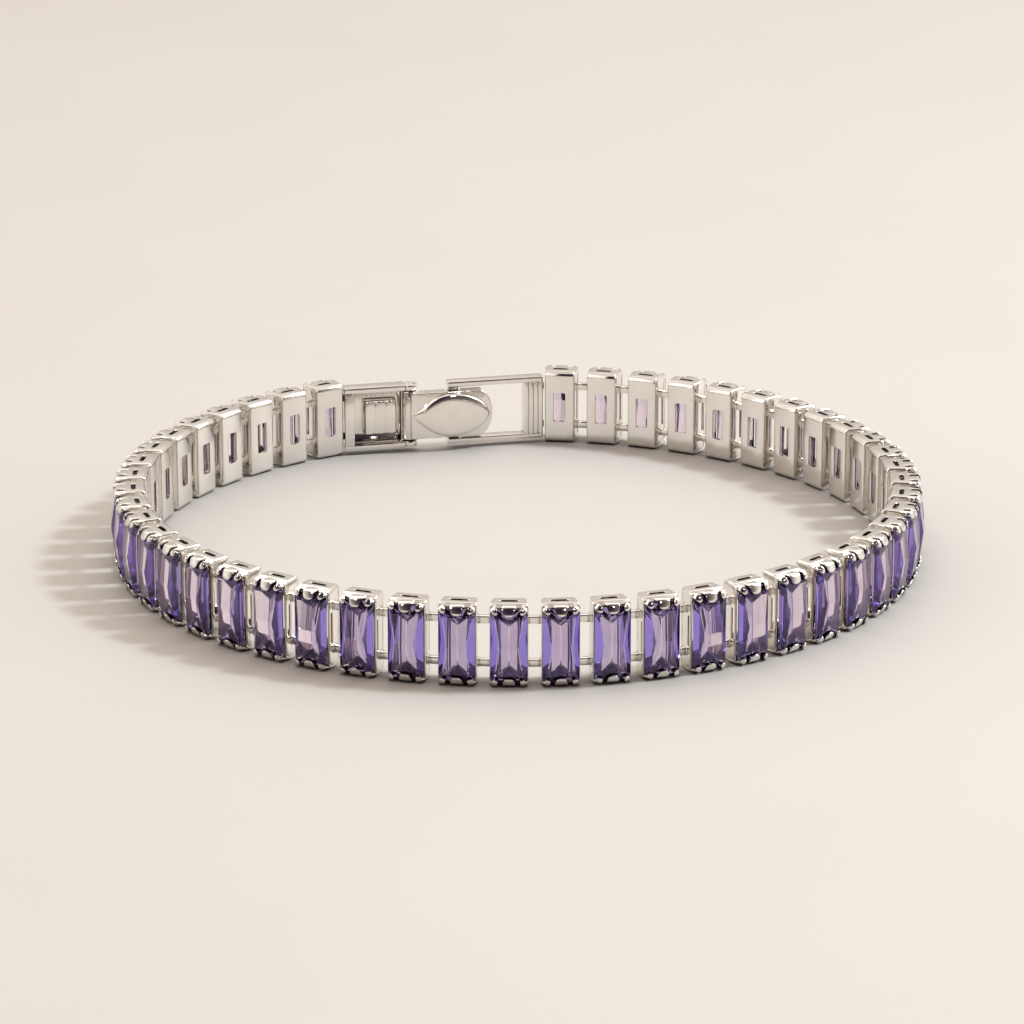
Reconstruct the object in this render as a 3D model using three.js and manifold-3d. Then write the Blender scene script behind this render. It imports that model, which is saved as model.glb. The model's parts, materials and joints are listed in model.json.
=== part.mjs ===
// A line bracelet of rectangular stones in open claw settings, closed by a fold-over clasp.
// Millimetres, +Z up. The bracelet stands on its lower edge as one loop, with the clasp at +Y.
// Each link is drawn in a frame of its own: x along the chain, y outward from the wrist and
// z up, with y = 0 on the line through the joining bars and z = 0 at the lower edge.
import * as THREE from "three";
import { ConvexGeometry } from "three/addons/geometries/ConvexGeometry.js";
import { mergeVertices } from "three/addons/utils/BufferGeometryUtils.js";
import Module from "manifold-3d";

const wasm = await Module();
wasm.setup();

// ---- driving dimensions ----

const LINK_PITCH = 3.451;
const LINK_TURN = THREE.MathUtils.degToRad(6.9725);
const RUNS = [9, 10, 9, 10, 9]; // links joined into one solid, from the clasp's left end round to its right
const LINK_HEIGHT = 5.85;
const EDGE_GAP = 0.08; // left between a bar's free end and the piece it leads to
const OVERLAP = 0.1; // how far joined bodies run into each other
const BEYOND = 1; // how far a cutting body runs past the faces it cuts

const SETTING = {
  innerHalfWidth: 1.16,
  frontHalfWidth: 1.34,
  inner: -0.93, // the plate's face on the wrist's side
  front: 0.88, // the rim under the stone's edge
  shoulder: 0.55, // where an end wall starts to slope down to the rim
  shoulderDrop: 0.2,
  edgeChamfer: 0.4,
  plate: 0.3,
  endWall: 0.28,
  sideWall: 0.13,
  rimDepth: 0.25,
};
const PLATE_SLOT = { width: 0.92, height: 2.4 };
const END_SLOT = { width: 1.3, depth: 0.36 };
const BAR = { rise: 1.57, height: 0.56, depth: 0.4 }; // rise is measured from the link's mid height
const SIDE_WINDOW = { height: 2.3, inner: 0.3 }; // it opens from here outward to the rim
const CAVITY_FLARE = 0.03; // how far the cavity widens beyond its walls' own slope

const STONE = {
  halfWidth: 1.3,
  halfHeight: 2.665,
  corner: 0.25,
  girdle: 1.05,
  girdleThickness: 0.07,
  ridge: 1.7, // the crown's highest line, which lies across the stone's middle
  ridgeHalfWidth: 0.66,
  break: 1.42, // where the slopes from the ridge to the stone's ends grow steeper
  breakHalfHeight: 2.1,
  keel: 0.05,
  keelHalfLength: 1.3,
};

// Claw outlines: how far out, and how far in from the link's end.
const CORNER_CLAW = {
  width: 0.44,
  offset: 0.82,
  outline: [[0.62, 0], [1.22, 0], [1.4, 0.16], [1.5, 0.5], [1.37, 0.5], [1.17, 0.19], [0.62, 0.19]],
};
const CENTRE_CLAW = {
  width: 0.8,
  offset: 0,
  outline: [
    [0.62, 0], [1.22, 0], [1.4, 0.16], [1.56, 0.45], [1.56, 0.68], [1.45, 0.68], [1.17, 0.19], [0.62, 0.19],
  ],
};

const CLASP = {
  height: 5.1, // of both frames
  railHeight: 0.45,
  end: 8.03, // half the length between the two frames' outer ends
};
const END_FRAME = {
  depth: 1.3,
  postWidth: 0.8,
  back: 0.3, // thickness of the plate on the outer side
  backEnd: -3.42,
  block: { left: -6.45, right: -3.8, height: 2.75, inner: -0.5, chamfer: 0.3 },
};
const PIN = { x: -2.75, radius: 0.36, sides: 16 };
const LEVER = {
  barrelRadius: 0.6,
  pinClearance: 0.08,
  barrelHeight: 3.95,
  height: 3.75,
  right: 3.8,
  inner: -0.86,
  thickness: 0.36,
  flange: 0.3,
  flangeTip: 0.1,
  flangeLeft: -2.0,
  flangeRight: 3.0,
  barSlack: 0.15,
  tipRadius: 1.1,
  tipSteps: 4,
  tipWall: { thickness: 0.4, height: 2.25 },
};
const BOSS = { left: -2.65, right: 3.6, height: 3.5, rise: 0.45, crownShare: 0.62, steps: 8, bluntness: 0.6 };
const CATCH_FRAME = {
  depth: 1.0,
  barLeft: 0.3,
  barRight: 1.2,
  barDepth: 0.6,
  postWidth: 1.55,
  grooves: 3,
  grooveWidth: 0.2,
  grooveDepth: 0.15,
};

const LINK_COUNT = RUNS.reduce((sum, links) => sum + links, 0);
const LOOP_RADIUS = LINK_PITCH / (2 * Math.sin(LINK_TURN / 2));
const CLASP_HALF_ANGLE = Math.PI - (LINK_TURN * (LINK_COUNT - 1)) / 2;
const MID_HEIGHT = LINK_HEIGHT / 2;

// ---- materials ----

function metal() {
  return new THREE.MeshStandardMaterial({ color: 0xd8d5cf, roughness: 0.18, metalness: 1 });
}

function gem() {
  return new THREE.MeshStandardMaterial({ color: 0x6f5bbf, roughness: 0.05, metalness: 0 });
}

// ---- drawing and joining ----

function shapeOf(points) {
  return new THREE.Shape(points.map(([x, y]) => new THREE.Vector2(x, y)));
}

// An outline in plan, drawn up from one height to another.
function upright(points, low, high) {
  const geometry = new THREE.ExtrudeGeometry(shapeOf(points), { depth: high - low, bevelEnabled: false });
  return geometry.translate(0, 0, low);
}

// An outline of (outward, height) points, drawn across from x = left to x = right.
function across(points, left, right) {
  const geometry = new THREE.ExtrudeGeometry(shapeOf(points), { depth: right - left, bevelEnabled: false });
  const turn = new THREE.Matrix4().makeBasis(
    new THREE.Vector3(0, 1, 0),
    new THREE.Vector3(0, 0, 1),
    new THREE.Vector3(1, 0, 0),
  );
  return geometry.applyMatrix4(turn).translate(left, 0, 0);
}

function block([x0, x1], [y0, y1], [z0, z1]) {
  const geometry = new THREE.BoxGeometry(x1 - x0, y1 - y0, z1 - z0);
  return geometry.translate((x0 + x1) / 2, (y0 + y1) / 2, (z0 + z1) / 2);
}

function post(x, y, radius, sides, low, high) {
  const geometry = new THREE.CylinderGeometry(radius, radius, high - low, sides);
  return geometry.rotateX(Math.PI / 2).translate(x, y, (low + high) / 2);
}

function around(middle, size) {
  return [middle - size / 2, middle + size / 2];
}

function solidOf(geometry) {
  const bare = geometry.index ? geometry.toNonIndexed() : geometry.clone();
  bare.deleteAttribute("normal");
  bare.deleteAttribute("uv");
  const merged = mergeVertices(bare, 1e-5);
  const triVerts = new Uint32Array(merged.index.array);
  const vertProperties = new Float32Array(merged.attributes.position.array);
  return new wasm.Manifold(new wasm.Mesh({ numProp: 3, vertProperties, triVerts }));
}

function geometryOf(solid) {
  const { vertProperties, triVerts } = solid.getMesh();
  const geometry = new THREE.BufferGeometry();
  geometry.setAttribute("position", new THREE.BufferAttribute(new Float32Array(vertProperties), 3));
  geometry.setIndex(new THREE.BufferAttribute(new Uint32Array(triVerts), 1));
  return geometry;
}

function joined(geometries) {
  return geometries.map(solidOf).reduce((whole, piece) => whole.add(piece));
}

function cut(solid, geometries) {
  return geometries.map(solidOf).reduce((rest, piece) => rest.subtract(piece), solid);
}

// ---- places along the loop ----

// The direction of link k from the loop's centre; the middle link lies at -Y.
function linkAngle(k) {
  return -Math.PI / 2 + (k - (LINK_COUNT - 1) / 2) * LINK_TURN;
}

function place(angle, radius) {
  const matrix = new THREE.Matrix4().makeRotationZ(angle - Math.PI / 2);
  return matrix.setPosition(radius * Math.cos(angle), radius * Math.sin(angle), 0);
}

// ---- stone ----

// A clipped oblong whose crown is a low hipped roof: long flat triangles at the sides meet the
// ends of a short ridge, so the faces between them are narrowest in the middle.
function stoneGeometry() {
  const s = STONE;
  const points = [];
  const add = (x, out, z) => points.push(new THREE.Vector3(x, out, MID_HEIGHT + z));
  const base = s.girdle + s.girdleThickness;
  const sideSlope = (s.halfWidth - s.ridgeHalfWidth) / (s.ridge - base);
  const breakHalfWidth = s.halfWidth - (s.break - base) * sideSlope;
  for (const side of [-1, 1]) {
    for (const end of [-1, 1]) {
      for (const out of [s.girdle, base]) {
        add(side * s.halfWidth, out, end * (s.halfHeight - s.corner));
        add(side * (s.halfWidth - s.corner), out, end * s.halfHeight);
      }
      add(side * breakHalfWidth, s.break, end * s.breakHalfHeight);
    }
    add(side * s.ridgeHalfWidth, s.ridge, 0);
    add(0, s.keel, side * s.keelHalfLength);
  }
  return new ConvexGeometry(points);
}

// ---- setting ----

// The claw at one end: end is 1 for the upper and -1 for the lower.
function claw(kind, x, end) {
  const outline = kind.outline.map(([out, inset]) => [out, MID_HEIGHT + end * (MID_HEIGHT - inset)]);
  return across(outline, ...around(x, kind.width));
}

function settingGeometry() {
  const s = SETTING;
  const h = LINK_HEIGHT;
  const plan = upright(
    [
      [-s.innerHalfWidth, s.inner],
      [s.innerHalfWidth, s.inner],
      [s.frontHalfWidth, s.front],
      [-s.frontHalfWidth, s.front],
    ],
    -BEYOND,
    h + BEYOND,
  );
  const profile = across(
    [
      [s.inner, s.edgeChamfer],
      [s.inner + s.edgeChamfer, 0],
      [s.shoulder, 0],
      [s.front, s.shoulderDrop],
      [s.front, h - s.shoulderDrop],
      [s.shoulder, h],
      [s.inner + s.edgeChamfer, h],
      [s.inner, h - s.edgeChamfer],
    ],
    -LINK_PITCH,
    LINK_PITCH,
  );
  const rim = s.front + s.rimDepth;
  const rimHalfWidth = s.frontHalfWidth - s.sideWall + CAVITY_FLARE;
  const cavity = upright(
    [
      [s.sideWall - s.innerHalfWidth, s.inner + s.plate],
      [s.innerHalfWidth - s.sideWall, s.inner + s.plate],
      [rimHalfWidth, rim],
      [-rimHalfWidth, rim],
    ],
    s.endWall,
    h - s.endWall,
  );
  const plateSlotDepths = [s.inner - BEYOND, s.inner + BEYOND];
  const slots = [
    block(around(0, PLATE_SLOT.width), plateSlotDepths, around(MID_HEIGHT, PLATE_SLOT.height)),
    block(around(0, END_SLOT.width), around(0, END_SLOT.depth), [-BEYOND, h + BEYOND]),
  ];
  const windowDepths = [SIDE_WINDOW.inner, s.front - s.rimDepth];
  const window = block(around(0, 2 * LINK_PITCH), windowDepths, around(MID_HEIGHT, SIDE_WINDOW.height));

  const box = solidOf(plan).intersect(solidOf(profile));
  const open = cut(box, [cavity, window, ...slots]);
  const claws = [-1, 1].flatMap((end) => [
    claw(CORNER_CLAW, -CORNER_CLAW.offset, end),
    claw(CORNER_CLAW, CORNER_CLAW.offset, end),
    claw(CENTRE_CLAW, CENTRE_CLAW.offset, end),
  ]);
  return geometryOf(open.add(joined(claws)));
}

// The two flat bars from a point between two links, each from x = left to x = right.
function barPair(left, right) {
  return [-1, 1].map((side) => {
    const heights = around(MID_HEIGHT + side * BAR.rise, BAR.height);
    return block([left, right], around(0, BAR.depth), heights);
  });
}

function settingHalfWidthAtBar() {
  const { inner, front, innerHalfWidth, frontHalfWidth } = SETTING;
  const share = -inner / (front - inner);
  return innerHalfWidth + share * (frontHalfWidth - innerHalfWidth);
}

// A run of settings with the bars between them; all but the last run also carry the bars to the next.
function settingRun(first, count, reachesNext) {
  const setting = settingGeometry();
  const halfGap = LINK_PITCH / 2 - settingHalfWidthAtBar();
  const chordRadius = LOOP_RADIUS * Math.cos(LINK_TURN / 2);
  const pieces = [];
  for (let k = first; k < first + count; k += 1) {
    pieces.push(setting.clone().applyMatrix4(place(linkAngle(k), LOOP_RADIUS)));
    const isLast = k === first + count - 1;
    if (!isLast || reachesNext) {
      const inWall = Math.min(OVERLAP, SETTING.sideWall);
      const far = isLast ? halfGap - EDGE_GAP : halfGap + inWall;
      const matrix = place(linkAngle(k + 0.5), chordRadius);
      pieces.push(...barPair(-far, halfGap + inWall).map((bar) => bar.applyMatrix4(matrix)));
    }
  }
  return geometryOf(joined(pieces));
}

// ---- clasp ----

const FRAME_HEIGHTS = around(MID_HEIGHT, CLASP.height);
const THROUGH = [FRAME_HEIGHTS[0] - BEYOND, FRAME_HEIGHTS[1] + BEYOND];
const RAIL_HEIGHTS = [
  [FRAME_HEIGHTS[0], FRAME_HEIGHTS[0] + CLASP.railHeight],
  [FRAME_HEIGHTS[1] - CLASP.railHeight, FRAME_HEIGHTS[1]],
];

// The two bars from a frame's outer end to the end link; side is -1 at the left and 1 at the right.
// They lie halfway between the frame's direction and the link's, and meet the middle of its side.
function endBars(side) {
  const slant = CLASP_HALF_ANGLE / 2;
  const halfWidth = settingHalfWidthAtBar();
  const linkX = LOOP_RADIUS * Math.sin(CLASP_HALF_ANGLE) - halfWidth * Math.cos(CLASP_HALF_ANGLE);
  const linkY = halfWidth * Math.sin(CLASP_HALF_ANGLE);
  const reach = linkX - CLASP.end;
  const startY = linkY - reach * Math.tan(slant);
  const cornerClearance = EDGE_GAP + BAR.depth * Math.tan(slant);
  return barPair(-BAR.depth, reach / Math.cos(slant) - cornerClearance).map((bar) => {
    if (side < 0) {
      bar.rotateZ(Math.PI);
    }
    return bar.rotateZ(side * slant).translate(side * CLASP.end, startY, 0);
  });
}

function endFrame() {
  const f = END_FRAME;
  const depths = around(0, f.depth);
  const rails = RAIL_HEIGHTS.flatMap(([low, high]) => [
    block([-CLASP.end, PIN.x], depths, [low, high]),
    post(PIN.x, 0, f.depth / 2, PIN.sides, low, high),
  ]);
  const b = f.block;
  const blockFront = b.inner + b.chamfer;
  const blockBack = depths[1] - OVERLAP;
  const blockOutline = [
    [b.left, blockBack],
    [b.left, blockFront],
    [b.left + b.chamfer, b.inner],
    [b.right - b.chamfer, b.inner],
    [b.right, blockFront],
    [b.right, blockBack],
  ];
  const body = joined([
    ...rails,
    block([-CLASP.end, -CLASP.end + f.postWidth], depths, FRAME_HEIGHTS),
    block([-CLASP.end, f.backEnd], [depths[1] - f.back, depths[1]], FRAME_HEIGHTS),
    upright(blockOutline, ...around(MID_HEIGHT, b.height)),
    ...endBars(-1),
  ]);
  const hole = post(PIN.x, 0, PIN.radius + LEVER.pinClearance, PIN.sides, ...THROUGH);
  return geometryOf(cut(body, [hole]));
}

function hingePin() {
  return post(PIN.x, 0, PIN.radius, PIN.sides, ...FRAME_HEIGHTS);
}

// The leaf-shaped boss, pointed to the left and blunter to the right, up to its flatter crown.
function bossGeometry() {
  const centre = (BOSS.left + BOSS.right) / 2;
  const halfLength = (BOSS.right - BOSS.left) / 2;
  const points = [];
  const layers = [
    { out: LEVER.inner + LEVER.thickness / 2, share: 1 },
    { out: LEVER.inner, share: 1 },
    { out: LEVER.inner - BOSS.rise, share: BOSS.crownShare },
  ];
  for (const { out, share } of layers) {
    for (let i = 0; i <= BOSS.steps; i += 1) {
      const along = -1 + (2 * i) / BOSS.steps;
      const taper = along < 0 ? 1 : BOSS.bluntness;
      const width = (share * BOSS.height * (1 - along * along) ** taper) / 2;
      const x = centre + along * halfLength * share;
      points.push(new THREE.Vector3(x, out, MID_HEIGHT + width));
      points.push(new THREE.Vector3(x, out, MID_HEIGHT - width));
    }
  }
  return new ConvexGeometry(points);
}

function leverGeometry() {
  const l = LEVER;
  const [low, high] = around(MID_HEIGHT, l.height);
  const tipX = l.right - l.tipRadius;
  const tip = [];
  for (let i = 0; i <= l.tipSteps; i += 1) {
    const angle = -Math.PI / 2 + (i * Math.PI) / l.tipSteps;
    const reach = (high - low) / 2;
    tip.push([tipX + l.tipRadius * Math.cos(angle), MID_HEIGHT + reach * Math.sin(angle)]);
  }
  const face = new THREE.ExtrudeGeometry(shapeOf([[PIN.x, low], ...tip, [PIN.x, high]]), {
    depth: l.thickness,
    bevelEnabled: false,
  });
  face.rotateX(Math.PI / 2).translate(0, l.inner + l.thickness, 0);
  const wallDepths = [l.inner + OVERLAP, l.flangeTip];
  const flange = (heights) => block([l.flangeLeft, l.flangeRight], wallDepths, heights);
  const barNotch = [CATCH_FRAME.barLeft - l.barSlack, CATCH_FRAME.barRight + l.barSlack];
  const notchFloor = -CATCH_FRAME.barDepth / 2 - l.barSlack;
  const body = joined([
    face,
    post(PIN.x, 0, l.barrelRadius, PIN.sides, ...around(MID_HEIGHT, l.barrelHeight)),
    flange([low, low + l.flange]),
    flange([high - l.flange, high]),
    block([tipX, tipX + l.tipWall.thickness], wallDepths, around(MID_HEIGHT, l.tipWall.height)),
    bossGeometry(),
  ]);
  return geometryOf(
    cut(body, [
      post(PIN.x, 0, PIN.radius + l.pinClearance, PIN.sides, ...THROUGH),
      block(barNotch, [notchFloor, BEYOND], THROUGH),
    ]),
  );
}

function catchFrame() {
  const f = CATCH_FRAME;
  const depths = around(0, f.depth);
  const rails = RAIL_HEIGHTS.map((heights) => block([f.barLeft, CLASP.end], depths, heights));
  const postLeft = CLASP.end - f.postWidth;
  const body = joined([
    ...rails,
    block([f.barLeft, f.barRight], around(0, f.barDepth), FRAME_HEIGHTS),
    block([postLeft, CLASP.end], depths, FRAME_HEIGHTS),
    ...endBars(1),
  ]);
  const grooves = [];
  for (let i = 1; i <= f.grooves; i += 1) {
    const x = postLeft + (i * f.postWidth) / (f.grooves + 1);
    const inner = depths[0];
    grooves.push(block(around(x, f.grooveWidth), [inner - BEYOND, inner + f.grooveDepth], THROUGH));
  }
  return geometryOf(cut(body, grooves));
}

// ---- the bracelet ----

function named(name, geometry, material) {
  const mesh = new THREE.Mesh(geometry, material);
  mesh.name = name;
  return mesh;
}

const loop = new THREE.Group();

for (let k = 0; k < LINK_COUNT; k += 1) {
  const stone = named(`stone_${String(k + 1).padStart(2, "0")}`, stoneGeometry(), gem());
  stone.applyMatrix4(place(linkAngle(k), LOOP_RADIUS));
  loop.add(stone);
}

let firstLink = 0;
RUNS.forEach((count, i) => {
  const reachesNext = i < RUNS.length - 1;
  loop.add(named(`setting_run_${i + 1}`, settingRun(firstLink, count, reachesNext), metal()));
  firstLink += count;
});

const clasp = new THREE.Group();
clasp.position.y = LOOP_RADIUS * Math.cos(CLASP_HALF_ANGLE);
clasp.add(
  named("clasp_end_frame", endFrame(), metal()),
  named("clasp_hinge_pin", hingePin(), metal()),
  named("clasp_lever", leverGeometry(), metal()),
  named("clasp_catch_frame", catchFrame(), metal()),
);
loop.add(clasp);

// The origin is the middle of the lower edge's box.
const box = new THREE.Box3().setFromObject(loop, true);
loop.position.y = -(box.min.y + box.max.y) / 2;

const bracelet = new THREE.Group();
bracelet.add(loop);

export default bracelet;
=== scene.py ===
"""A line bracelet of violet cut stones in open claw settings, standing on its edge as a loop.

Links and clasp pieces are drawn in millimetres in frames of their own: x along the chain,
y outward from the wrist and z up, with y = 0 on the line through the joining bars.
"""
import json
import math

import bmesh
import bpy
from mathutils import Matrix, Vector


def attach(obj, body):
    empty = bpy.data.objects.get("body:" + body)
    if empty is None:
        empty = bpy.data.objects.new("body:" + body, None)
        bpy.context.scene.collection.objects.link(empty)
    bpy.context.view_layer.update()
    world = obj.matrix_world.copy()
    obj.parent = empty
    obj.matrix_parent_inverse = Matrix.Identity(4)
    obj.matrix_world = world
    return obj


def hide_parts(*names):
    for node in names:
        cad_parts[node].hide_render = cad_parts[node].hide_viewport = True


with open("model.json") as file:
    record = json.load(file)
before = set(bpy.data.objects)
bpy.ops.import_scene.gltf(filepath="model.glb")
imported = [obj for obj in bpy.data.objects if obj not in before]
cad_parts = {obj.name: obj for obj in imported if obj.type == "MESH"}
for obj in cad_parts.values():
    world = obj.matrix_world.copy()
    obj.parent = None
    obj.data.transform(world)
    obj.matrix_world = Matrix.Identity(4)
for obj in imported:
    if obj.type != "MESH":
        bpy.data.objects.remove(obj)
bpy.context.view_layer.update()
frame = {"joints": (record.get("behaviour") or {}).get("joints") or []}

MM = 0.001

# ---- sizes of the chain, in millimetres ----

LINK_PITCH = 3.451
LINK_TURN = math.radians(6.9725)  # from each link to the next
RUNS = (9, 10, 9, 10, 9)  # settings in each run of the CAD model
LINK_COUNT = sum(RUNS)
HEIGHT = 5.85
MID = HEIGHT / 2
LOOP_RADIUS = LINK_PITCH / (2 * math.sin(LINK_TURN / 2))
CHORD_RADIUS = LOOP_RADIUS * math.cos(LINK_TURN / 2)  # to the middle between two links
CLASP_HALF_ANGLE = math.pi - LINK_TURN * (LINK_COUNT - 1) / 2
PIN_Y = frame["joints"][0]["pos_m"][1] / MM
LOOP_Y = PIN_Y - LOOP_RADIUS * math.cos(CLASP_HALF_ANGLE)

INNER, FRONT = -0.93, 0.88  # a setting's plate on the wrist's side, and its open face
INNER_HALF_WIDTH, FRONT_HALF_WIDTH = 1.16, 1.34
WALL = 0.28  # thickness of the strap
EDGE_GAP = 0.08  # from a bar's free end to the piece it points at
BAR_LAP = 0.1  # how far a bar's fixed end runs into its setting
BAR_RISE, BAR_HEIGHT, BAR_DEPTH = 1.57, 0.56, 0.4


# ---- drawing ----

def merged(shells):
    """One shell from several, which are used up."""
    whole = bmesh.new()
    for shell in shells:
        part = bpy.data.meshes.new("part")
        shell.to_mesh(part)
        shell.free()
        whole.from_mesh(part)
        bpy.data.meshes.remove(part)
    return whole


def mesh_piece(name, shells, material, smooth_below=35):
    """One named piece from shells in millimetres, smooth across edges below so many degrees."""
    mesh = bpy.data.meshes.new(name)
    whole = merged(shells)
    bmesh.ops.recalc_face_normals(whole, faces=whole.faces)
    whole.transform(Matrix.Scale(MM, 4))
    whole.to_mesh(mesh)
    whole.free()
    mesh.materials.append(material)
    mesh.shade_smooth()
    mesh.set_sharp_from_angle(angle=math.radians(smooth_below))
    obj = bpy.data.objects.new(name, mesh)
    bpy.context.scene.collection.objects.link(obj)
    return obj


def rounded_outline(half_w, half_h, radius, steps=3, centre=(0.0, 0.0), left_radius=None):
    """Points round a rectangle with rounded corners, the same number for any size."""
    points = []
    for quarter, (sx, sy) in enumerate(((1, 1), (-1, 1), (-1, -1), (1, -1))):
        wanted = radius if sx > 0 or left_radius is None else left_radius
        corner = min(wanted, half_w, half_h)
        cx = centre[0] + sx * (half_w - corner)
        cy = centre[1] + sy * (half_h - corner)
        for i in range(steps + 1):
            angle = math.pi / 2 * (quarter + i / steps)
            points.append((cx + corner * math.cos(angle), cy + corner * math.sin(angle)))
    return points


def loft(sections, ring=False):
    """A closed shell skinned over rows of points; a ring's last row joins its first."""
    shell = bmesh.new()
    rows = [[shell.verts.new(p) for p in section] for section in sections]
    following = rows[1:] + rows[:1] if ring else rows[1:]
    for a, b in zip(rows, following):
        for i in range(len(a)):
            j = (i + 1) % len(a)
            shell.faces.new((a[i], a[j], b[j], b[i]))
    if not ring:
        shell.faces.new(rows[0][::-1])
        shell.faces.new(rows[-1])
    return shell


def frame_ring(outer, inner, low, high, edge, to_space, steps=2):
    """A flat ring between two outlines, from one height to another, with rounded edges."""
    sections = []
    for (ox, oy), (ix, iy) in zip(outer, inner):
        width = math.hypot(ox - ix, oy - iy)
        profile = rounded_outline(width / 2, (high - low) / 2, edge, steps)
        section = []
        for along, up in profile:
            share = 0.5 + along / width
            across = (ix + (ox - ix) * share, iy + (oy - iy) * share)
            section.append(to_space(*across, (low + high) / 2 + up))
        sections.append(section)
    return loft(sections, ring=True)


def inset(outline, by):
    """An outline drawn in by so much; its points run anticlockwise."""
    made = []
    for i, (x, y) in enumerate(outline):
        before, after = outline[i - 1], outline[(i + 1) % len(outline)]
        along = (after[0] - before[0], after[1] - before[1])
        length = math.hypot(*along)
        made.append((x - along[1] / length * by, y + along[0] / length * by))
    return made


def slab(outline, low, high, edge, to_space, steps=3):
    """A flat piece of this outline, from one height to another, with its rims rounded."""
    sections = []
    for start, way, order in ((low, 1, 1), (high, -1, -1)):
        rows = []
        for i in range(steps + 1):
            angle = math.pi / 2 * i / steps
            rim = inset(outline, edge * (1 - math.sin(angle)))
            up = start + way * edge * (1 - math.cos(angle))
            rows.append([to_space(u, v, up) for u, v in rim])
        sections += rows[::order]
    return loft(sections)


LEAST_CORNER = 0.2  # the share of its rounding that a block's corners keep at its end faces


def rounded_block(x, y, z, edge, steps=2):
    """A block between three pairs of limits, with every edge rounded."""
    centre = ((y[0] + y[1]) / 2, (z[0] + z[1]) / 2)
    half = ((y[1] - y[0]) / 2, (z[1] - z[0]) / 2)
    sections = []
    for start, way, order in ((x[0], 1, 1), (x[1], -1, -1)):
        rows = []
        for i in range(steps + 1):
            angle = math.pi / 2 * i / steps
            taken_in = edge * (1 - math.sin(angle))
            along = start + way * edge * (1 - math.cos(angle))
            corner = max(edge - taken_in, edge * LEAST_CORNER)
            outline = rounded_outline(half[0] - taken_in, half[1] - taken_in, corner, steps, centre)
            rows.append([(along, u, v) for u, v in outline])
        sections += rows[::order]
    return loft(sections)


def turned(shell, matrix):
    """The same shell, moved or turned by a matrix."""
    shell.transform(matrix)
    return shell


def copies(shell, matrices):
    """Copies of a shell, each set by its own matrix; the first shell is used up."""
    made = []
    for matrix in matrices:
        copy = shell.copy()
        copy.transform(matrix)
        made.append(copy)
    shell.free()
    return made


FLIP_X = Matrix.Diagonal((-1, 1, 1, 1))  # left for right
# Upper end for lower:
FLIP_Z = Matrix.Translation((0, 0, HEIGHT)) @ Matrix.Diagonal((1, 1, -1, 1))
KEEP = Matrix.Identity(4)


def link_place(k, radius=LOOP_RADIUS):
    """Where link k sits round the loop, in millimetres; half numbers lie between two links."""
    angle = -math.pi / 2 + (k - (LINK_COUNT - 1) / 2) * LINK_TURN
    at = Matrix.Translation((radius * math.cos(angle), radius * math.sin(angle) + LOOP_Y, 0))
    return at @ Matrix.Rotation(angle - math.pi / 2, 4, "Z")


# ---- materials ----

def colour(hex_value):
    """sRGB hex to linear."""
    channels = [int(hex_value[i:i + 2], 16) / 255 for i in (1, 3, 5)]
    linear = [c / 12.92 if c <= 0.04045 else ((c + 0.055) / 1.055) ** 2.4 for c in channels]
    return (*linear, 1.0)


def add(tree, kind, settings=(), links=(), stops=()):
    """One node with its settings, by property or input name, its incoming links and its stops.

    The stops are a colour ramp's places and tones, from its low end up.
    """
    node = tree.nodes.new(kind)
    for key, value in dict(settings).items():
        if hasattr(node, str(key)):
            setattr(node, key, value)
        else:
            node.inputs[key].default_value = value
    for key, source in dict(links).items():
        tree.links.new(source, node.inputs[key])
    for i, (position, tone) in enumerate(stops):
        elements = node.color_ramp.elements
        element = elements[i] if i < len(elements) else elements.new(position)
        element.position = position
        element.color = colour(tone)
    return node


def blank(name):
    """A new material with an empty node tree."""
    material = bpy.data.materials.new(name)
    material.use_nodes = True
    material.node_tree.nodes.clear()
    return material, material.node_tree


HAZE_PATCH = 0.9 * MM  # across one patch of duller polish
RIPPLE = 0.5 * MM  # from crest to crest of the casting's ripple
RIPPLE_HEIGHT = 0.02 * MM
SHADE_REACH = 0.45 * MM  # how near other faces must be for the painted shade in recesses


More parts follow.
